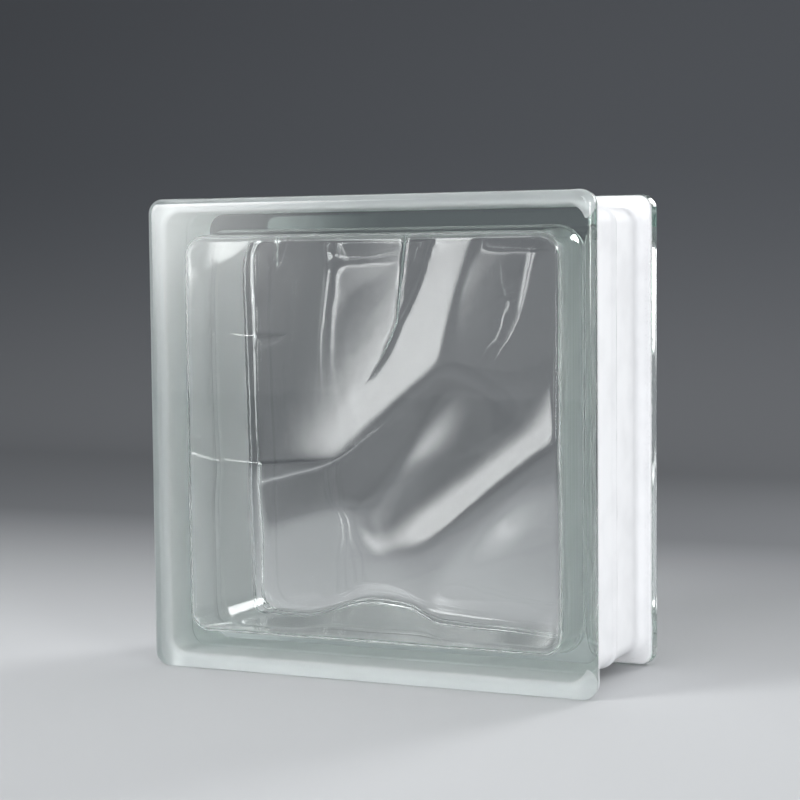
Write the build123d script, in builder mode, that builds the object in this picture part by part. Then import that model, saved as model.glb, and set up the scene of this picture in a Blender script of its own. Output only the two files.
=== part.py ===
from build123d import *
import math
import os

# A hollow glass block, standing on one edge. X runs across the front face, Y from the
# front face to the rear one, and Z up. The origin is under the middle of the block.

# Overall size, over the flanges and the two faces
block_width = 190.0
block_height = 190.0
block_depth = 80.0

# Flange round each face, on whose crest the block stands
flange_thickness = 8.5
flange_corner_radius = 6.0
flange_draft = 8.0
flange_back_bevel = 1.0
face_rounding = 3.0
crest_land = 0.5

# Recessed side wall between the flanges, which the mortar keys into
web_recess = 5.5
web_corner_radius = 7.0
web_root_bevel = 1.8
wall_thickness = 7.5

# Bead of glass pressed out where the two halves are fused
seam_bead_height = 1.0
seam_bead_slope = 32.0
seam_inner_bevel = 0.6

# Hollow of one half-shell, from the seam to the wavy inner face of its pane
pane_thickness = 7.6
cavity_corner_radius = 10.0
cavity_draft = 3.5
cavity_floor_radius = 3.0

# White coating on the edges: how thick it is, how far it stays inside the crest that the
# block stands on, and how far it goes past the back bevel of the rear flange
coating_thickness = 0.12
coating_clearance = 0.01
coating_overlap = 0.5

# Wavy relief: bulges that rise from flat ground and meet in creases. A bulge is its centre
# across and up, its long and short half-axes, all in shares of half the pane, the turn of
# its long axis from the horizontal in degrees, and its rise. The ground lies wave_ground of
# the depth below the mean thickness of the pane.
wave_depth = 3.0
wave_ground = 0.55
bulge_flatness = 2.3
crease_sharpness = 5.0
wave_samples = 15
wave_margin = 1.02
wave_tolerance = 0.02
bulges = [
    (-0.44, 0.71, 0.88, 0.61, 72.0, 1.00),
    (0.71, 0.61, 0.88, 0.54, 60.0, 1.00),
    (0.22, 0.02, 0.71, 0.33, 35.0, 0.90),
    (0.63, -0.51, 0.71, 0.34, 58.0, 0.95),
    (-0.59, -0.56, 0.73, 0.51, 50.0, 0.90),
    (-0.76, 1.07, 0.32, 0.27, 20.0, 0.70),
    (-0.07, -1.02, 0.49, 0.29, 10.0, 0.80),
]

half_depth = block_depth / 2
shoulder_depth = half_depth - flange_thickness
crest_depth = half_depth - face_rounding - crest_land
pane_depth = half_depth - pane_thickness
web_half_width = block_width / 2 - web_recess
web_half_height = block_height / 2 - web_recess
cavity_half_width = web_half_width - wall_thickness
cavity_half_height = web_half_height - wall_thickness
seam_bead_run = seam_bead_height / math.tan(math.radians(seam_bead_slope))
coating_setback = (coating_thickness + coating_clearance) / math.tan(math.radians(flange_draft))
front_coat_depth = crest_depth - coating_setback
rear_coat_depth = shoulder_depth + flange_back_bevel + coating_overlap

# The seam plane looks to the front face, so offsets from it are depths in the front half
seam_plane = Plane(origin=(0, 0, block_height / 2), x_dir=(1, 0, 0), z_dir=(0, -1, 0))


def wave_height(across, up):
    # Smooth union of the ground and the bulges, in millimetres into the hollow
    union = 1.0
    for centre_across, centre_up, long_axis, short_axis, turn, rise in bulges:
        turned = math.radians(turn)
        along = (across - centre_across) * math.cos(turned) + (up - centre_up) * math.sin(turned)
        beside = (up - centre_up) * math.cos(turned) - (across - centre_across) * math.sin(turned)
        reach = math.hypot(along / long_axis, beside / short_axis)
        union += math.exp(crease_sharpness * rise * (1 - reach**bulge_flatness))
    return wave_depth * (math.log(union) / crease_sharpness - wave_ground)


def relief_grid(quarter_turned):
    # Heights of the relief on a square grid, a little wider than the pane
    steps = range(wave_samples)
    shares = [wave_margin * (2 * step / (wave_samples - 1) - 1) for step in steps]
    if quarter_turned:
        return [[(across, up, wave_height(-up, across)) for across in shares] for up in shares]
    return [[(across, up, wave_height(across, up)) for across in shares] for up in shares]


def wavy_floor(grid):
    # Inner face of the pane
    rows = []
    for row in grid:
        points = [
            Vector(across * cavity_half_width, up * cavity_half_height, pane_depth - height)
            for across, up, height in row
        ]
        rows.append([seam_plane.from_local_coords(point) for point in points])
    return Face.make_surface_from_array_of_points(rows, tol=wave_tolerance, max_deg=3)


def drafted_block(half_width, half_height, corner_radius, base, amount, angle):
    # Block with rounded corners that narrows away from its base plane
    with BuildPart() as block:
        with BuildSketch(base):
            RectangleRounded(2 * half_width, 2 * half_height, corner_radius)
        extrude(amount=amount)
        if angle:
            sides = block.faces().filter_by(Axis.Y, reverse=True)
            draft(sides, base, math.copysign(angle, amount))
    return block.part


def half_outside(skin):
    # Outside of the front half-shell, with every surface but the seam moved out by a skin
    web = drafted_block(
        web_half_width + skin,
        web_half_height + skin,
        web_corner_radius + skin,
        seam_plane,
        shoulder_depth,
        0,
    )
    bead = drafted_block(
        web_half_width + seam_bead_height + skin,
        web_half_height + seam_bead_height + skin,
        web_corner_radius + seam_bead_height + skin,
        seam_plane,
        2 * seam_bead_run,
        seam_bead_slope,
    )
    flange = drafted_block(
        block_width / 2 + skin,
        block_height / 2 + skin,
        flange_corner_radius + skin,
        seam_plane.offset(crest_depth),
        shoulder_depth - skin - crest_depth,
        flange_draft,
    )
    rim = drafted_block(
        block_width / 2 + skin,
        block_height / 2 + skin,
        flange_corner_radius + skin,
        seam_plane.offset(crest_depth),
        half_depth - crest_depth,
        0,
    )
    with BuildPart() as outside:
        add([web, bead, flange, rim])
        shoulder = outside.faces().filter_by(Axis.Y).sort_by(Axis.Y)[1]
        chamfer(shoulder.inner_wires()[0].edges(), web_root_bevel - skin * (2 - math.sqrt(2)))
        shoulder = outside.faces().filter_by(Axis.Y).sort_by(Axis.Y)[1]
        chamfer(shoulder.outer_wire().edges(), flange_back_bevel + skin * (2 - math.sqrt(2)))
        fillet(outside.faces().sort_by(Axis.Y)[0].edges(), face_rounding)
    return outside.part


def half_shell(outside, relief):
    # One pressing: its seam on the seam plane and its pane to the front
    lowest = min(height for row in relief for across, up, height in row)
    hollow_block = drafted_block(
        cavity_half_width,
        cavity_half_height,
        cavity_corner_radius,
        seam_plane,
        pane_depth - lowest,
        cavity_draft,
    )
    with BuildPart() as hollow:
        add(hollow_block)
        fillet(hollow.faces().sort_by(Axis.Y)[0].edges(), cavity_floor_radius)
        extrude(wavy_floor(relief), amount=2 * wave_depth, dir=(0, -1, 0), mode=Mode.SUBTRACT)
    with BuildPart() as shell:
        add(outside)
        add(hollow.part, mode=Mode.SUBTRACT)
        seam_face = shell.faces().sort_by(Axis.Y)[-1]
        chamfer(seam_face.inner_wires()[0].edges(), seam_inner_bevel)
    return shell.part


outside = half_outside(0.0)

with BuildPart() as front_half:
    add(half_shell(outside, relief_grid(False)))

# The rear half is the same pressing, given a quarter turn before the two are fused
with BuildPart() as rear_half:
    add(half_shell(outside, relief_grid(True)).rotate(Axis.Z, 180))

# The coating is the outside grown by its thickness, less the outside itself
coated = half_outside(coating_thickness)

with BuildPart() as front_coat:
    add(coated)
    split(bisect_by=seam_plane.offset(front_coat_depth), keep=Keep.BOTTOM)

with BuildPart() as rear_coat:
    add(coated)
    split(bisect_by=seam_plane.offset(rear_coat_depth), keep=Keep.BOTTOM)

with BuildPart() as edge_coating:
    add(front_coat.part)
    add(rear_coat.part.rotate(Axis.Z, 180))
    add(outside, mode=Mode.SUBTRACT)
    add(outside.rotate(Axis.Z, 180), mode=Mode.SUBTRACT)

front_half.part.label = "front_half"
rear_half.part.label = "rear_half"
edge_coating.part.label = "edge_coating"

os.makedirs("parts", exist_ok=True)
export_step(front_half.part, "parts/front_half.step")
export_step(rear_half.part, "parts/rear_half.step")
export_step(edge_coating.part, "parts/edge_coating.step")
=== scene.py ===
import math
import bpy
import bmesh
from mathutils import Matrix, Vector


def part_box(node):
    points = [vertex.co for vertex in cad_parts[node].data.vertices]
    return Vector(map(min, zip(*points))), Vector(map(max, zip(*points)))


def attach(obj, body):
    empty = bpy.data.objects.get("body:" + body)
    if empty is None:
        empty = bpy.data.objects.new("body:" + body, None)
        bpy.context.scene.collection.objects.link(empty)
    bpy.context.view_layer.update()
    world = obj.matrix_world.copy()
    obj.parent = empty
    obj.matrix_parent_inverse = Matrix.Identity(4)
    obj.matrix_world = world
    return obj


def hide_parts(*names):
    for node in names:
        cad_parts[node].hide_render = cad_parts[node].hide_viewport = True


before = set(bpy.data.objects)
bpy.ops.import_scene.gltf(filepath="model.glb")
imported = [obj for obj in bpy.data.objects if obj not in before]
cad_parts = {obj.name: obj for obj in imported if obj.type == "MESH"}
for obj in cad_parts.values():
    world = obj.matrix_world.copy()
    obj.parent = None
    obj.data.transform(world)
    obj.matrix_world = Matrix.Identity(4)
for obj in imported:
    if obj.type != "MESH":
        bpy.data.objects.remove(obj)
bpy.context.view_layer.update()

# Hollow glass block standing on one edge. Metres, Z up, the front face towards -Y.

scene = bpy.context.scene
mm = 0.001

blockLow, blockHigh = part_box("front_half")
halfWidth = (blockHigh.x - blockLow.x) / 2
halfHeight = (blockHigh.z - blockLow.z) / 2
halfDepth = -blockLow.y
middle = (blockHigh.z + blockLow.z) / 2

# Light passes many faces inside the block, so it needs more bounces than Blender starts with
scene.cycles.max_bounces = 14
scene.cycles.transmission_bounces = 14
scene.cycles.glossy_bounces = 8


# Camera, as the photo was taken

cameraSetup = {
    "place": (0.3393, -0.7468, 0.1632),
    "turnDeg": 24.52,
    "tiltDeg": -3.84,
    "rollDeg": -0.55,
    "lensMm": 91.53,
    "sensorMm": 36.0,
}


def addCamera(setup):
    turn, tilt, roll = (math.radians(setup[key]) for key in ("turnDeg", "tiltDeg", "rollDeg"))
    ahead = Vector((-math.sin(turn) * math.cos(tilt), math.cos(turn) * math.cos(tilt), math.sin(tilt)))
    level = Vector((math.cos(turn), math.sin(turn), 0.0))
    upright = level.cross(ahead)
    right = math.cos(roll) * level + math.sin(roll) * upright
    up = math.cos(roll) * upright - math.sin(roll) * level
    data = bpy.data.cameras.new("camera")
    data.sensor_width = setup["sensorMm"]
    data.lens = setup["lensMm"]
    camera = bpy.data.objects.new("camera", data)
    scene.collection.objects.link(camera)
    turned = Matrix((right, up, -ahead)).transposed().to_4x4()
    camera.matrix_world = Matrix.Translation(setup["place"]) @ turned
    scene.camera = camera


addCamera(cameraSetup)
print("camera set")


# Helpers for node trees

def addNode(tree, kind, inputs=None, **settings):
    # A node with its settings and inputs; an input is a value or a socket to link from
    node = tree.nodes.new(kind)
    for key, value in settings.items():
        setattr(node, key, value)
    for key, value in (inputs or {}).items():
        if isinstance(value, bpy.types.NodeSocket):
            tree.links.new(value, node.inputs[key])
        else:
            node.inputs[key].default_value = value
    return node


def maths(tree, operation, *values):
    return addNode(tree, "ShaderNodeMath", dict(enumerate(values)), operation=operation).outputs[0]


def product(tree, first, *others):
    for other in others:
        first = maths(tree, "MULTIPLY", first, other)
    return first


def newMaterial(name):
    material = bpy.data.materials.new(name)
    material.use_nodes = True
    tree = material.node_tree
    return material, tree, tree.nodes["Principled BSDF"], tree.nodes["Material Output"]


def noiseOf(tree, place, size, detail):
    inputs = {"Vector": place, "Scale": 1 / size, "Detail": detail}
    return addNode(tree, "ShaderNodeTexNoise", inputs).outputs["Fac"]


def unrestOf(tree, place, size, detail=3.0):
    # Noise that sways about zero
    return maths(tree, "SUBTRACT", noiseOf(tree, place, size, detail), 0.5)


def ranged(tree, value, low, high, toLow=0.0, toHigh=1.0, kind="LINEAR"):
    # The value's share of the way from low to high, held between toLow and toHigh
    inputs = {"Value": value, "From Min": low, "From Max": high, "To Min": toLow, "To Max": toHigh}
    return addNode(tree, "ShaderNodeMapRange", inputs, interpolation_type=kind).outputs[0]


def mixedColour(tree, share, first, second):
    return addNode(tree, "ShaderNodeMix", {0: share, 6: first, 7: second}, data_type="RGBA").outputs[2]


def bumpOf(tree, height, depth, normal=None):
    inputs = {"Height": height, "Distance": depth}
    if normal:
        inputs["Normal"] = normal
    return addNode(tree, "ShaderNodeBump", inputs).outputs["Normal"]


# Clear glass

glassLook = {
    "ior": 1.52,
    "tint": (0.45, 0.79, 0.68),
    "tintDensity": 4.0,
    "rippleSize": 9 * mm,
    "rippleDepth": 0.02 * mm,
    "grainSize": 1.1 * mm,
    "grainDepth": 0.0008 * mm,
    "streakLong": 70 * mm,         # flow marks that run round the walls, beside the seam
    "streakWide": 2.2 * mm,
    "streakDepth": 0.07 * mm,
}


# Grooves that the mould leaves where two bulges part, on the pane's inner face: where each
# starts, how far down it runs, how it leans and bends, and how its sides close. The mesh has
# the groove itself, and the material adds a crisp edge with this share of its size.
crispShare = 0.35
grooveUnrest = 5 * mm              # size of the unevenness along a groove's sides
grooveFade = 0.75                  # share of its length at which a groove starts to fade
bendPower = 4.0                    # higher bends later
closePower = 0.6                   # lower keeps the sides apart for longer
grooves = [
    {
        "across": 25 * mm, "up": 86 * mm, "length": 64 * mm, "lean": 15 * mm, "bend": 10 * mm,
        "halfWidth": 6.3 * mm, "closeAt": 0.62, "tail": 0.45 * mm,
        "edge": 1.0 * mm, "depth": 0.75 * mm, "tilt": 0.05, "wobble": 1.0 * mm,
    },
    {
        "across": -35 * mm, "up": 82 * mm, "length": 17 * mm, "lean": 2 * mm, "bend": 2 * mm,
        "halfWidth": 2.6 * mm, "closeAt": 0.9, "tail": 0.3 * mm,
        "edge": 0.9 * mm, "depth": 0.45 * mm, "tilt": 0.02, "wobble": 1.0 * mm,
    },
]


def grooveHeight(tree, across, up, unrest, groove, share=1.0):
    # What a groove adds to the relief at a place on the pane; it opens upwards and fades below
    down = ranged(tree, up, groove["up"], groove["up"] - groove["length"])
    lean = maths(tree, "MULTIPLY", down, groove["lean"])
    bend = maths(tree, "MULTIPLY", maths(tree, "POWER", down, bendPower), groove["bend"])
    wobble = maths(tree, "MULTIPLY", unrest, groove["wobble"])
    beside = maths(tree, "SUBTRACT", across, groove["across"])
    for shift in (maths(tree, "ADD", lean, bend), wobble):
        beside = maths(tree, "ADD", beside, shift)
    opening = ranged(tree, down, 0.0, groove["closeAt"], 1.0, 0.0)
    opening = maths(tree, "POWER", opening, closePower)
    width = maths(tree, "MAXIMUM", maths(tree, "MULTIPLY", opening, groove["halfWidth"]), groove["tail"])
    gap = maths(tree, "SUBTRACT", maths(tree, "ABSOLUTE", beside), width)
    inside = ranged(tree, gap, -share * groove["edge"], share * groove["edge"], 1.0, 0.0, "SMOOTHSTEP")
    fade = ranged(tree, down, grooveFade, 1.0, 1.0, 0.0)
    floor = maths(tree, "SUBTRACT", maths(tree, "MULTIPLY", beside, groove["tilt"]), groove["depth"])
    return product(tree, inside, fade, floor, share)


def tintOf(tree, look):
    return addNode(
        tree, "ShaderNodeVolumeAbsorption",
        {"Color": (*look["tint"], 1.0), "Density": look["tintDensity"]},
    ).outputs["Volume"]


def makeGlass(look):
    material, tree, shader, output = newMaterial("clear_glass")
    shader.inputs["Base Color"].default_value = (1.0, 1.0, 1.0, 1.0)
    shader.inputs["Roughness"].default_value = 0.0
    shader.inputs["Transmission Weight"].default_value = 1.0
    shader.inputs["IOR"].default_value = look["ior"]
    place = addNode(tree, "ShaderNodeTexCoord").outputs["Object"]
    soft = bumpOf(tree, noiseOf(tree, place, look["rippleSize"], 1.0), look["rippleDepth"])
    squeeze = (1 / look["streakLong"], 1 / look["streakWide"], 1 / look["streakLong"])
    squeezed = addNode(tree, "ShaderNodeVectorMath", {0: place, 1: squeeze}, operation="MULTIPLY")
    streaky = bumpOf(tree, noiseOf(tree, squeezed.outputs[0], 1.0, 2.0), look["streakDepth"], soft)
    fine = bumpOf(tree, noiseOf(tree, place, look["grainSize"], 2.0), look["grainDepth"], streaky)
    onPane = addNode(tree, "ShaderNodeAttribute", attribute_name="panePlace").outputs["Vector"]
    onPane = addNode(tree, "ShaderNodeSeparateXYZ", {0: onPane}).outputs
    unrest = unrestOf(tree, place, grooveUnrest)
    height = 0.0
    for groove in grooves:
        crisp = grooveHeight(tree, onPane["X"], onPane["Y"], unrest, groove, crispShare)
        height = maths(tree, "ADD", crisp, height)
    height = maths(tree, "MULTIPLY", height, ranged(tree, onPane["Z"], 0.9, 1.0))   # not on the walls
    tree.links.new(bumpOf(tree, height, 1.0, fine), shader.inputs["Normal"])
    tree.links.new(tintOf(tree, look), output.inputs["Volume"])
    return material


# White edge coating, and the skin of the glass that it is bonded to

coatLook = {
    "light": (0.87, 0.875, 0.89),
    "dark": (0.80, 0.805, 0.82),
    "mottleSize": 16 * mm,
    "mottleSpan": (0.3, 0.6),      # of the noise, from dark to light
    "grainSize": 0.5 * mm,
    "grainDepth": 0.03 * mm,
    "roughness": 0.7,
}
# The same white paint where it is bonded under the glass, painted lighter: painted light that brightens the
# inner walls seen through the glass
bondedLitLook = dict(coatLook, light=(0.955, 0.96, 0.965), dark=(0.92, 0.925, 0.93))


# Where the spray thins out to specks at the coating's two edges, and the seam's line: a small groove in the
# bump, with painted shade along it
sprayLook = {
    "frontEdge": -halfDepth + 3.8 * mm,
    "frontFade": 3.6 * mm,
    "rearEdge": halfDepth - 6.7 * mm,
    "rearFade": 2.1 * mm,
    "thinOver": 7.0 * mm,          # the spray is thinner on the front flange
    "thinColour": (0.66, 0.69, 0.70),
    "speckSize": 0.3 * mm,
    "speckSpan": (0.32, 0.68),     # of the noise, from clear to white
    "coverSpan": (0.84, 0.96),     # of fade and specks together, from clear to white
    "seamHalf": 0.35 * mm,
    "seamWobble": 1.6 * mm,
    "seamWobbleSize": 30 * mm,
    "seamDepth": 0.12 * mm,
    "seamPaintedShade": 0.62,
}


def sprayCover(tree, place, spray):
    along = addNode(tree, "ShaderNodeSeparateXYZ", {0: place}).outputs["Y"]
    front = ranged(tree, along, spray["frontEdge"], spray["frontEdge"] + spray["frontFade"])
    rear = ranged(tree, along, spray["rearEdge"], spray["rearEdge"] - spray["rearFade"])
    cover = maths(tree, "MINIMUM", front, rear)
    specks = ranged(tree, noiseOf(tree, place, spray["speckSize"], 3.0), *spray["speckSpan"])
    return ranged(tree, maths(tree, "ADD", cover, specks), *spray["coverSpan"])


def seamMark(tree, place, spray):
    along = addNode(tree, "ShaderNodeSeparateXYZ", {0: place}).outputs["Y"]
    unrest = unrestOf(tree, place, spray["seamWobbleSize"])
    off = maths(tree, "ADD", along, maths(tree, "MULTIPLY", unrest, spray["seamWobble"]))
    return ranged(tree, maths(tree, "ABSOLUTE", off), 0.0, spray["seamHalf"], 1.0, 0.0, "SMOOTHSTEP")


def makeCoat(name, look, onGlass):
    # Between the specks of spray the glass is clear and the coating has holes
    material, tree, shader, output = newMaterial(name)
    place = addNode(tree, "ShaderNodeTexCoord").outputs["Object"]
    shade = addNode(tree, "ShaderNodeValToRGB", {"Fac": noiseOf(tree, place, look["mottleSize"], 5.0)})
    for element, position, tone in zip(shade.color_ramp.elements, look["mottleSpan"], ("dark", "light")):
        element.position = position
        element.color = (*look[tone], 1.0)
    cover = sprayCover(tree, place, sprayLook)
    seam = seamMark(tree, place, sprayLook)
    # Painted shade along the seam's line darkens the coating's colour there; the bump below gives the
    # groove itself
    paintedSeamDim = ranged(tree, seam, 0.0, 1.0, 1.0, sprayLook["seamPaintedShade"])
    inputs = {0: shade.outputs["Color"], "Scale": paintedSeamDim}
    coatWithSeamShade = addNode(tree, "ShaderNodeVectorMath", inputs, operation="SCALE").outputs[0]
    grain = bumpOf(tree, noiseOf(tree, place, look["grainSize"], 2.0), look["grainDepth"])
    grain = bumpOf(tree, maths(tree, "MULTIPLY", seam, -1.0), sprayLook["seamDepth"], grain)
    tree.links.new(grain, shader.inputs["Normal"])
    if onGlass:
        along = addNode(tree, "ShaderNodeSeparateXYZ", {0: place}).outputs["Y"]
        edge, over = sprayLook["frontEdge"], sprayLook["thinOver"]
        full = ranged(tree, along, edge + over / 2, edge + over, 0.0, 1.0, "SMOOTHSTEP")
        seen = mixedColour(tree, full, (*sprayLook["thinColour"], 1.0), coatWithSeamShade)
        tree.links.new(mixedColour(tree, cover, (1.0, 1.0, 1.0, 1.0), seen), shader.inputs["Base Color"])
        tree.links.new(maths(tree, "SUBTRACT", 1.0, cover), shader.inputs["Transmission Weight"])
        tree.links.new(maths(tree, "MULTIPLY", cover, look["roughness"]), shader.inputs["Roughness"])
        shader.inputs["IOR"].default_value = glassLook["ior"]
        tree.links.new(tintOf(tree, glassLook), output.inputs["Volume"])
    else:
        tree.links.new(coatWithSeamShade, shader.inputs["Base Color"])
        tree.links.new(cover, shader.inputs["Alpha"])
        shader.inputs["Roughness"].default_value = look["roughness"]
    return material


clearGlass = makeGlass(glassLook)
coatSkin = makeCoat("white_coating", coatLook, False)
coatBonded = makeCoat("coated_glass", bondedLitLook, True)
print("materials made")


# Glass body: the two half-shells fused into one, with a closed skin outside and one inside.
# Every ring round the block is a rounded square with the same number of points.

glassBody = {
    "pullIn": 0.06 * mm,           # room for the coating inside the block's own size
    "cornerRadius": 6.0 * mm,
    "faceRounding": 3.0 * mm,
    "crestLand": 0.5 * mm,
    "flangeThickness": 8.5 * mm,
    "flangeDraftDeg": 8.0,
    "flangeBackRounding": 1.0 * mm,
    "webRecess": 5.5 * mm,
    "webCorner": 7.0 * mm,
    "webRoot": 3.0 * mm,
    "beadHeight": 1.0 * mm,
    "beadRun": 1.6 * mm,
    "wall": 7.5 * mm,
    "cavityCorner": 10.0 * mm,
    "cavityDraftDeg": 3.5,
    "floorRadius": 3.0 * mm,
    "seamGroove": 0.5 * mm,
    "seamReach": 3.0 * mm,         # from the seam to where the sway of its line has died out
    "seamLineHalf": 0.3 * mm,      # half the width and the depth of the line along the bead
    "seamLineDepth": 0.25 * mm,
    "pane": 7.6 * mm,
    "reliefFade": 12.0 * mm,       # how far up the wall the relief of the pane dies out
    "sidePoints": 136,             # points along each side of a ring
    "cornerShare": 0.14,           # share of a side's points on its two half corners
    "coatStart": 3.9 * mm,         # from the front face to the coating
    "coatWrap": 1.5 * mm,          # how far the coating goes up the rear flange from its back edge
    # Rows of points: arcs of the face rounding, the flange's back edge, the web's root and the
    # pane's rim, the bead, depths along the web, and shares of the way up the inner wall
    "roundingSteps": 6,
    "backSteps": 4,
    "rootSteps": 5,
    "rimSteps": 9,
    "beadSteps": 6,
    "webDepths": (24 * mm, 14 * mm, 5 * mm),
    "wallShares": (0.93, 0.82, 0.69, 0.52, 0.3, 0.1),
    # More rows: on the flat face, inwards from its rounding; on the flange's side, from its back;
    # on that back, before the web's root; and in the seam's groove, from the seam, with the share
    # of its depth
    "faceRows": (3.0 * mm, 0.5 * mm),
    "flangeRow": 3.2 * mm,
    "rootRow": 0.3 * mm,
    "grooveRows": ((1.2 * mm, -0.2), (0.7 * mm, 0.2), (0.25 * mm, 0.9), (0.0, 1.0)),
    "cornerPower": 6,              # how late the pane's rings take the round corners of its rim
}


def ringPoint(side, t, halfX, halfZ, corner, cornerShare):
    # Point of a rounded rectangle; t runs from -1 to 1 along a side, between its corners' middles
    alongHalf, outHalf = (halfX, halfZ) if side % 2 == 0 else (halfZ, halfX)
    straight = 1 - cornerShare
    if abs(t) <= straight:
        along, out = t / straight * (alongHalf - corner), outHalf
    else:
        turn = math.radians(45) * (abs(t) - straight) / cornerShare
        along = math.copysign(alongHalf - corner + corner * math.sin(turn), t)
        out = outHalf - corner + corner * math.cos(turn)
    return ((along, -out), (out, along), (-along, out), (-out, -along))[side]


def ringOf(body, inset, corner):
    half = body["sidePoints"] / 2
    halfX, halfZ = halfWidth - inset, halfHeight - inset
    return [
        ringPoint(side, j / half - 1, halfX, halfZ, corner, body["cornerShare"])
        for side in range(4)
        for j in range(body["sidePoints"])
    ]


def arcRows(centre, radius, fromDeg, toDeg, steps):
    # Rows (inset, depth) on an arc; 0 degrees points inwards, 90 towards the face
    angles = [math.radians(fromDeg + (toDeg - fromDeg) * i / steps) for i in range(steps + 1)]
    return [(centre[0] + radius * math.cos(a), centre[1] + radius * math.sin(a)) for a in angles]


def flangeRows(body):
    # From the flat face over the crest to the back of the flange
    draft = math.tan(math.radians(body["flangeDraftDeg"]))
    rounding, back = body["faceRounding"], body["flangeBackRounding"]
    shoulder = halfDepth - body["flangeThickness"]
    crest = halfDepth - rounding - body["crestLand"]
    rows = [(rounding + inwards, halfDepth) for inwards in body["faceRows"]]
    rows += arcRows((rounding, halfDepth - rounding), rounding, 90, 180, body["roundingSteps"])
    depths = [crest, halfDepth - body["coatStart"]]
    depths += [shoulder + body["flangeRow"], shoulder + body["coatWrap"]]
    rows += [(draft * (crest - depth), depth) for depth in depths]
    backCentre = (draft * (crest - shoulder) + back, shoulder + back)
    rows += arcRows(backCentre, back, 180 + body["flangeDraftDeg"], 270, body["backSteps"])
    rows += [(body["webRecess"] - body["webRoot"] - body["rootRow"], shoulder)]
    return [(inset, body["cornerRadius"] - inset, depth) for inset, depth in rows]


def webRows(body):
    # From the back of the flange down the side wall to the bead on the seam
    root, recess = body["webRoot"], body["webRecess"]
    shoulder = halfDepth - body["flangeThickness"]
    rows = arcRows((recess - root, shoulder - root), root, 90, 0, body["rootSteps"])
    rows += [(recess, depth) for depth in body["webDepths"]]
    bead, run, steps = body["beadHeight"], body["beadRun"], body["beadSteps"]
    for step in range(steps + 1):
        share = step / steps
        rise = bead * (0.5 - 0.5 * math.cos(math.pi * share))
        rows.append((recess - rise, 2 * run * (1 - share) + body["seamLineHalf"] * share))
    rows.append((recess - bead + body["seamLineDepth"], 0.0))
    return [(inset, body["webCorner"] + recess - inset, depth) for inset, depth in rows]


def outerProfile(body):
    # Rows (inset, corner radius, depth before the seam) from the front face to the rear one
    front = flangeRows(body) + webRows(body)
    front = [(inset + body["pullIn"], corner, depth) for inset, corner, depth in front]
    return front + [(inset, corner, -depth) for inset, corner, depth in reversed(front[:-1])]


def innerProfile(body):
    # Rows (inset, corner radius, depth, share of the relief) of one half, from the pane's rim up
    # the wall to the seam
    slope = math.tan(math.radians(body["cavityDraftDeg"]))
    floor = halfDepth - body["pane"]
    radius = body["floorRadius"]
    seamInset = body["webRecess"] + body["wall"]
    wallInset = seamInset + slope * (floor - radius)
    rows = arcRows((wallInset + radius, floor - radius), radius, 90, 180, body["rimSteps"])
    for share in body["wallShares"]:
        rows.append((seamInset + slope * (floor - radius) * share, (floor - radius) * share))
    for depth, share in body["grooveRows"]:
        rows.append((seamInset - body["seamGroove"] * share, depth))
    out = []
    for inset, depth in rows:
        share = max(0.0, 1 - (floor - depth) / body["reliefFade"])
        share = share * share * (3 - 2 * share)
        out.append((inset, body["cavityCorner"] - (inset - seamInset), depth, share))
    return out


class ShellMesh:
    # Points and faces gathered ring by ring, with what the node trees read
    def __init__(self):
        self.mesh = bmesh.new()
        self.floats = {
            name: self.mesh.verts.layers.float.new(name)
            for name in ("reliefShare", "paneSide", "seamShare", "edgeShare")
        }
        self.coated = self.mesh.faces.layers.bool.new("coated")

    def ring(self, points, depth, side, **values):
        made = []
        for x, z in points:
            vert = self.mesh.verts.new((x, -side * depth, z + middle))
            vert[self.floats["paneSide"]] = side
            for name, value in values.items():
                vert[self.floats[name]] = value
            made.append(vert)
        return made

    def bridge(self, a, b, coated=False):
        n = len(a)
        for i in range(n):
            face = self.mesh.faces.new((a[i], a[(i + 1) % n], b[(i + 1) % n], b[i]))
            face[self.coated] = coated

    def grow(self, inner, outer):
        # Between square rings of 8m and 8(m + 1) points
        per = len(inner) // 4
        for side in range(4):
            start = side * (per + 2)
            self.mesh.faces.new((inner[side * per], outer[start - 1], outer[start], outer[start + 1]))
            for j in range(per):
                a, b = inner[side * per + j], inner[(side * per + j + 1) % len(inner)]
                self.mesh.faces.new((a, outer[start + j + 1], outer[(start + j + 2) % len(outer)], b))

    def pane(self, rim, row, side, body):
        # Grid of the pane, square in the middle and rounded like the rim at its edge
        inset, corner, depth, share = row
        halfX, halfZ = halfWidth - inset, halfHeight - inset
        rings = body["sidePoints"] // 2
        centre = self.ring([(0.0, 0.0)], depth, side, reliefShare=share)[0]
        last = None
        for m in range(1, rings):
            scale = m / rings
            follow = scale ** body["cornerPower"]
            points = []
            for s in range(4):
                for j in range(2 * m):
                    rx, rz = ringPoint(s, j / m - 1, halfX, halfZ, corner, body["cornerShare"])
                    qx, qz = ringPoint(s, j / m - 1, halfX, halfZ, 0.0, 1e-6)
                    points.append((scale * (qx + (rx - qx) * follow), scale * (qz + (rz - qz) * follow)))
            ring = self.ring(points, depth, side, reliefShare=share)
            if last is None:
                for i in range(0, 8, 2):
                    self.mesh.faces.new((centre, ring[i - 1], ring[i], ring[i + 1]))
            else:
                self.grow(last, ring)
            last = ring
        self.grow(last, rim)

    def object(self, name):
        data = bpy.data.meshes.new(name)
        self.mesh.to_mesh(data)
        self.mesh.free()
        data.shade_smooth()
        made = bpy.data.objects.new(name, data)
        scene.collection.objects.link(made)
        print(name, "blank:", len(data.polygons), "faces")
        return made


sameDepth = 0.01 * mm              # a row this near to an edge of the coating lies on it


def coatSpan(body):
    # Depths of the coating's front and rear edges, measured from the seam towards the front
    return halfDepth - body["coatStart"], -(halfDepth - body["flangeThickness"] + body["coatWrap"])


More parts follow.
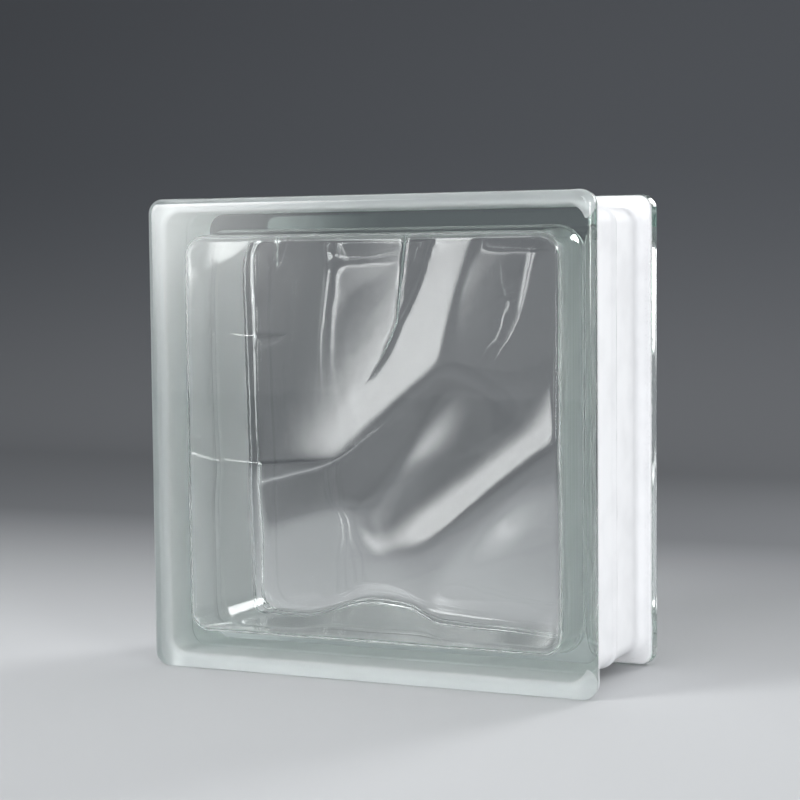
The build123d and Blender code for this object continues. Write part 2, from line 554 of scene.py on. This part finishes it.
def makeGlassBlank(body):
    shell = ShellMesh()
    coatFront, coatRear = coatSpan(body)
    rows = outerProfile(body)
    rings = []
    for inset, corner, depth in rows:
        atEdge = float(min(abs(depth - coatFront), abs(depth - coatRear)) < sameDepth)
        rings.append(shell.ring(ringOf(body, inset, corner), depth, 1, edgeShare=atEdge))
    shell.mesh.faces.new(rings[0])
    shell.mesh.faces.new(rings[-1])
    for a, b, rowA, rowB in zip(rings, rings[1:], rows, rows[1:]):
        between = (rowA[2] + rowB[2]) / 2
        shell.bridge(a, b, coated=coatRear < between < coatFront)
    outsideFaces = set(shell.mesh.faces)
    bmesh.ops.recalc_face_normals(shell.mesh, faces=list(outsideFaces))

    inner = innerProfile(body)
    walls = {}
    for side in (1, -1):
        rows = inner if side == 1 else inner[:-1]
        walls[side] = [
            shell.ring(
                ringOf(body, inset, corner), depth, side,
                reliefShare=share, seamShare=max(0.0, 1 - depth / body["seamReach"]),
            )
            for inset, corner, depth, share in rows
        ]
        shell.pane(walls[side][0], inner[0], side, body)
        for a, b in zip(walls[side], walls[side][1:]):
            shell.bridge(a, b)
    shell.bridge(walls[-1][-1], walls[1][-1])
    insideFaces = [face for face in shell.mesh.faces if face not in outsideFaces]
    bmesh.ops.recalc_face_normals(shell.mesh, faces=insideFaces)
    bmesh.ops.reverse_faces(shell.mesh, faces=insideFaces)
    return shell.object("glass_body")


# Relief of the panes: soft oval bulges that rise from a flat ground and meet in creases.
# A bulge is its centre across and up from the pane's middle, its long and short half-axes,
# the turn of its long axis in degrees, and its height as a share of the relief's depth.

relief = {
    "Depth": 3.0 * mm,
    "Ground": 0.55,                # share of the depth that lies below the pane's mean level
    "Flatness": 2.4,               # 2 is a round top, more is flatter with steeper sides
    "Sharpness": 7.0,
    "Middle Height": middle,
    "Seam Wobble": 2.0 * mm,
    "Edge Wobble": 1.0 * mm,       # of the coating's two edges
}
seamUnrest = 24 * mm
edgeUnrest = 4 * mm
bulges = [
    (-14 * mm, 56 * mm, 84 * mm, 53 * mm, 62.0, 1.00),
    (76 * mm, 54 * mm, 58 * mm, 36 * mm, 60.0, 1.00),
    (34 * mm, -3 * mm, 62 * mm, 28 * mm, 31.0, 0.90),
    (64 * mm, -49 * mm, 57 * mm, 33 * mm, 58.0, 0.97),
    (-44 * mm, -54 * mm, 58 * mm, 40 * mm, 50.0, 0.90),
    (-62 * mm, 88 * mm, 26 * mm, 22 * mm, 20.0, 0.70),
    (-6 * mm, -84 * mm, 40 * mm, 24 * mm, 10.0, 0.80),
]


def newTree(name, inputs, output, kind):
    # A group with named inputs and one output; a geometry goes in first where one comes out
    tree = bpy.data.node_groups.new(name, "GeometryNodeTree")
    if kind == "Geometry":
        tree.interface.new_socket("Geometry", in_out="INPUT", socket_type="NodeSocketGeometry")
    for socket in inputs:
        tree.interface.new_socket(socket, in_out="INPUT", socket_type="NodeSocketFloat")
    tree.interface.new_socket(output, in_out="OUTPUT", socket_type="NodeSocket" + kind)
    given = tree.nodes.new("NodeGroupInput").outputs
    return tree, given, tree.nodes.new("NodeGroupOutput").inputs[0]


def bulgeTree():
    # One bulge's weight in the smooth union, at a place on the pane
    names = (
        "Across", "Up", "Centre Across", "Centre Up", "Long", "Short", "Turn", "Rise",
        "Flatness", "Sharpness",
    )
    tree, given, out = newTree("bulge", names, "Weight", "Float")
    dx = maths(tree, "SUBTRACT", given["Across"], given["Centre Across"])
    dz = maths(tree, "SUBTRACT", given["Up"], given["Centre Up"])
    cosine, sine = maths(tree, "COSINE", given["Turn"]), maths(tree, "SINE", given["Turn"])
    along = maths(tree, "ADD", maths(tree, "MULTIPLY", dx, cosine), maths(tree, "MULTIPLY", dz, sine))
    beside = maths(tree, "SUBTRACT", maths(tree, "MULTIPLY", dz, cosine), maths(tree, "MULTIPLY", dx, sine))
    along = maths(tree, "DIVIDE", along, given["Long"])
    beside = maths(tree, "DIVIDE", beside, given["Short"])
    alongSquare, besideSquare = (maths(tree, "MULTIPLY", side, side) for side in (along, beside))
    square = maths(tree, "ADD", alongSquare, besideSquare)
    fall = maths(tree, "POWER", square, maths(tree, "DIVIDE", given["Flatness"], 2.0))
    level = maths(tree, "MULTIPLY", given["Rise"], maths(tree, "SUBTRACT", 1.0, fall))
    weight = maths(tree, "EXPONENT", maths(tree, "MULTIPLY", level, given["Sharpness"]))
    tree.links.new(weight, out)
    return tree


def attributeOf(tree, name, kind="FLOAT"):
    node = addNode(tree, "GeometryNodeInputNamedAttribute", {"Name": name}, data_type=kind)
    return node.outputs["Attribute"]


def raggedShift(tree, position, wobble):
    # How far the coating's edges stray along the block
    return product(tree, unrestOf(tree, position, edgeUnrest), wobble, attributeOf(tree, "edgeShare"))


def movedAlong(tree, geometry, shift):
    # Front to rear by the shift
    offset = addNode(tree, "ShaderNodeCombineXYZ", {"Y": shift}).outputs[0]
    return addNode(tree, "GeometryNodeSetPosition", {"Geometry": geometry, "Offset": offset}).outputs[0]


def withMaterial(tree, geometry, material, **selection):
    inputs = {"Geometry": geometry, "Material": material, **selection}
    return addNode(tree, "GeometryNodeSetMaterial", inputs).outputs[0]


def reliefTree(bulges):
    # Moves the inner faces of both panes by the relief, and gives each face its material
    tree, given, out = newTree("paneRelief", relief, "Geometry", "Geometry")
    bulge = bulgeTree()
    position = addNode(tree, "GeometryNodeInputPosition").outputs[0]
    place = addNode(tree, "ShaderNodeSeparateXYZ", {0: position}).outputs
    side = attributeOf(tree, "paneSide")
    # The rear half is the same pressing given a quarter turn
    lift = maths(tree, "SUBTRACT", place["Z"], given["Middle Height"])
    rear = maths(tree, "LESS_THAN", side, 0.0)
    rearAcross, rearUp = (maths(tree, "MULTIPLY", way, -1.0) for way in (lift, place["X"]))
    across = addNode(tree, "ShaderNodeMix", {0: rear, 2: place["X"], 3: rearAcross}).outputs[0]
    up = addNode(tree, "ShaderNodeMix", {0: rear, 2: lift, 3: rearUp}).outputs[0]
    union = 1.0
    for centreAcross, centreUp, longAxis, shortAxis, turnDeg, rise in bulges:
        weight = addNode(
            tree, "GeometryNodeGroup",
            {"Across": across, "Up": up, "Centre Across": centreAcross, "Centre Up": centreUp,
             "Long": longAxis, "Short": shortAxis, "Turn": math.radians(turnDeg), "Rise": rise,
             "Flatness": given["Flatness"], "Sharpness": given["Sharpness"]},
            node_tree=bulge,
        ).outputs["Weight"]
        union = maths(tree, "ADD", union, weight)
    height = maths(tree, "DIVIDE", maths(tree, "LOGARITHM", union, math.e), given["Sharpness"])
    height = maths(tree, "MULTIPLY", maths(tree, "SUBTRACT", height, given["Ground"]), given["Depth"])
    unrest = unrestOf(tree, position, grooveUnrest)
    for groove in grooves:
        height = maths(tree, "ADD", grooveHeight(tree, across, up, unrest, groove), height)
    reliefShare = attributeOf(tree, "reliefShare")
    height = product(tree, height, reliefShare, side)

    # The inner line of the seam sways, and the coating's edges are ragged
    sway = unrestOf(tree, position, seamUnrest, 2.0)
    sway = product(tree, sway, given["Seam Wobble"], attributeOf(tree, "seamShare"))
    ragged = raggedShift(tree, position, given["Edge Wobble"])
    shift = maths(tree, "ADD", maths(tree, "ADD", height, sway), ragged)

    moved = movedAlong(tree, given["Geometry"], shift)
    onPane = addNode(tree, "ShaderNodeCombineXYZ", {0: across, 1: up, 2: reliefShare})
    kept = addNode(
        tree, "GeometryNodeStoreNamedAttribute",
        {"Geometry": moved, "Name": "panePlace", "Value": onPane.outputs[0]}, data_type="FLOAT_VECTOR",
    ).outputs[0]
    realized = addNode(tree, "GeometryNodeRealizeInstances", {"Geometry": kept}).outputs[0]
    clear = withMaterial(tree, realized, clearGlass)
    coated = attributeOf(tree, "coated", "BOOLEAN")
    tree.links.new(withMaterial(tree, clear, coatBonded, Selection=coated), out)
    return tree


def grown(blank, tree, sizes, name):
    # The blank after its node tree, as a plain mesh in an object of its own
    modifier = blank.modifiers.new(tree.name, "NODES")
    modifier.node_group = tree
    for item in tree.interface.items_tree:
        if item.in_out == "INPUT" and item.name in sizes:
            modifier[item.identifier] = sizes[item.name]
    evaluated = blank.evaluated_get(bpy.context.evaluated_depsgraph_get())
    data = bpy.data.meshes.new_from_object(evaluated)
    data.name = name
    bpy.data.objects.remove(blank)
    made = bpy.data.objects.new(name, data)
    scene.collection.objects.link(made)
    print(name, "grown:", len(data.polygons), "faces,", [m.name for m in data.materials])
    return made


glass = grown(makeGlassBlank(glassBody), reliefTree(bulges), relief, "glass_body")
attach(glass, "root")
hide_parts("front_half", "rear_half")


# Edge coating: a thin white skin on the four sides, from behind the front crest to the rear flange

coatBody = {
    "gap": 0.004 * mm,
    "thickness": 0.045 * mm,
}


def offsetRows(rows, by):
    # Rows moved out along the profile's own normal
    out = []
    for k, (inset, corner, depth) in enumerate(rows):
        before, after = rows[max(k - 1, 0)], rows[min(k + 1, len(rows) - 1)]
        run = Vector((after[0] - before[0], after[2] - before[2])).normalized()
        moveInset, moveDepth = run.y * by, -run.x * by
        out.append((inset + moveInset, corner - moveInset, depth + moveDepth))
    return out


def makeCoatBlank(body, coat):
    shell = ShellMesh()
    coatFront, coatRear = coatSpan(body)
    rows = [
        row for row in outerProfile(body) if coatRear - sameDepth < row[2] < coatFront + sameDepth
    ]
    skins = []
    for by in (coat["gap"], coat["gap"] + coat["thickness"]):
        rings = []
        for k, (inset, corner, depth) in enumerate(offsetRows(rows, by)):
            atEdge = float(k in (0, len(rows) - 1))
            rings.append(shell.ring(ringOf(body, inset, corner), depth, 1, edgeShare=atEdge))
        skins.append(rings)
    loop = skins[1] + skins[0][::-1]
    for a, b in zip(loop, loop[1:] + loop[:1]):
        shell.bridge(a, b)
    bmesh.ops.recalc_face_normals(shell.mesh, faces=list(shell.mesh.faces))
    return shell.object("white_edge")


def sprayTree():
    # Makes the coating's edges as uneven as on the glass beneath
    tree, given, out = newTree("sprayedEdge", ("Edge Wobble",), "Geometry", "Geometry")
    position = addNode(tree, "GeometryNodeInputPosition").outputs[0]
    moved = movedAlong(tree, given["Geometry"], raggedShift(tree, position, given["Edge Wobble"]))
    realized = addNode(tree, "GeometryNodeRealizeInstances", {"Geometry": moved}).outputs[0]
    tree.links.new(withMaterial(tree, realized, coatSkin), out)
    return tree


coating = grown(makeCoatBlank(glassBody, coatBody), sprayTree(), relief, "white_edge")
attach(coating, "root")
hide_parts("edge_coating")


# Stage: a pale floor that curves up into a backdrop, with painted shade that makes it greyer away from the
# block, as where less light reaches

stageSetup = {
    "front": -1.6,
    "bend": 0.75,                  # where the floor starts to curve up
    "bendRadius": 0.45,
    "bendSteps": 24,
    "top": 1.6,
    "halfWide": 2.2,
    "nearLitColour": (0.56, 0.57, 0.58),
    "farShadedColour": (0.095, 0.10, 0.11),
    "behind": (-0.1, 0.4, 0.7),    # from, to, and the share of the way to the far colour
    "above": (0.0, 0.3, 0.3),
    "around": (0.3, 0.8, 0.6),
}


def makeSweep(setup):
    bend, radius, steps = setup["bend"], setup["bendRadius"], setup["bendSteps"]
    rows = [(setup["front"], 0.0), (0.0, 0.0), (bend, 0.0)]
    for k in range(1, steps + 1):
        angle = math.radians(90) * k / steps
        rows.append((bend + radius * math.sin(angle), radius * (1 - math.cos(angle))))
    rows.append((bend + radius, setup["top"]))
    verts = [(x, y, z) for y, z in rows for x in (-setup["halfWide"], setup["halfWide"])]
    faces = [(2 * k, 2 * k + 1, 2 * k + 3, 2 * k + 2) for k in range(len(rows) - 1)]
    data = bpy.data.meshes.new("sweep")
    data.from_pydata(verts, [], faces)
    data.shade_smooth()
    sweep = bpy.data.objects.new("sweep", data)
    scene.collection.objects.link(sweep)
    material, tree, shader, output = newMaterial("pale_sweep")
    place = addNode(tree, "ShaderNodeTexCoord").outputs["Object"]
    parts = addNode(tree, "ShaderNodeSeparateXYZ", {0: place}).outputs
    far = addNode(tree, "ShaderNodeVectorMath", {0: place}, operation="LENGTH").outputs["Value"]
    behind, above, around = (
        ranged(tree, value, setup[way][0], setup[way][1], 0.0, setup[way][2])
        for value, way in ((parts["Y"], "behind"), (parts["Z"], "above"), (far, "around"))
    )
    # Painted shade: the colour darkens behind, above and away from the block, as where the lamps' light
    # falls off
    run = maths(tree, "MAXIMUM", maths(tree, "ADD", behind, above), around)
    shade = addNode(tree, "ShaderNodeValToRGB", {"Fac": run})
    shade.color_ramp.interpolation = "EASE"
    shade.color_ramp.elements[0].color = (*setup["nearLitColour"], 1.0)
    shade.color_ramp.elements[1].color = (*setup["farShadedColour"], 1.0)
    tree.links.new(shade.outputs["Color"], shader.inputs["Base Color"])
    shader.inputs["Specular IOR Level"].default_value = 0.0    # the lamps leave no glare on it
    data.materials.append(material)


# Soft boxes, all aimed at the block's middle. The left one gives the bright bands in the panes.
softboxes = {
    "front_box": {"place": (0.0, -1.9, 0.75), "size": (0.8, 1.2), "power": 2.5, "soft": 0.25},
    "left_box": {"place": (-1.15, -1.35, 0.6), "size": (1.05, 1.3), "power": 13.0, "soft": 0.3},
    "right_box": {"place": (1.2, -0.9, 0.35), "size": (0.6, 0.6), "power": 3.5, "soft": 0.25},
    "back_box": {"place": (0.45, 0.95, 0.55), "size": (0.5, 0.6), "power": 2.7, "soft": 0.25},
    "top_box": {"place": (0.0, 0.3, 1.7), "size": (1.2, 0.9), "power": 0.2, "soft": 0.25},
}
boxSpreadDeg = 80                  # narrow, so that little light falls on the floor in front
worldLight = {"colour": (0.95, 0.975, 1.0), "strength": 0.6}


def addSoftbox(name, setup, aim):
    data = bpy.data.lights.new(name, "AREA")
    data.shape = "RECTANGLE"
    data.size, data.size_y = setup["size"]
    data.energy = setup["power"]
    data.spread = math.radians(boxSpreadDeg)
    # Brightness falls away towards the edges, as behind a diffuser
    data.use_nodes = True
    tree = data.node_tree
    spot = addNode(tree, "ShaderNodeNewGeometry").outputs["Parametric"]
    spot = addNode(tree, "ShaderNodeSeparateXYZ", {0: spot}).outputs
    glow = 1.0
    for axis in ("X", "Y"):
        toEdge = maths(tree, "MINIMUM", spot[axis], maths(tree, "SUBTRACT", 1.0, spot[axis]))
        fall = ranged(tree, toEdge, 0.0, setup["soft"], kind="SMOOTHSTEP")
        glow = maths(tree, "MULTIPLY", fall, glow)
    tree.links.new(glow, tree.nodes["Emission"].inputs["Strength"])
    lamp = bpy.data.objects.new(name, data)
    scene.collection.objects.link(lamp)
    lamp.location = setup["place"]
    lamp.rotation_euler = (aim - Vector(setup["place"])).to_track_quat("-Z", "Y").to_euler()


def addWorld(light):
    world = bpy.data.worlds.new("studio")
    world.use_nodes = True
    background = world.node_tree.nodes["Background"]
    background.inputs["Color"].default_value = (*light["colour"], 1.0)
    background.inputs["Strength"].default_value = light["strength"]
    scene.world = world


makeSweep(stageSetup)
for name, setup in softboxes.items():
    addSoftbox(name, setup, Vector((0.0, 0.0, middle)))
addWorld(worldLight)
print("stage and lights set")

scene.view_settings.view_transform = "Standard"
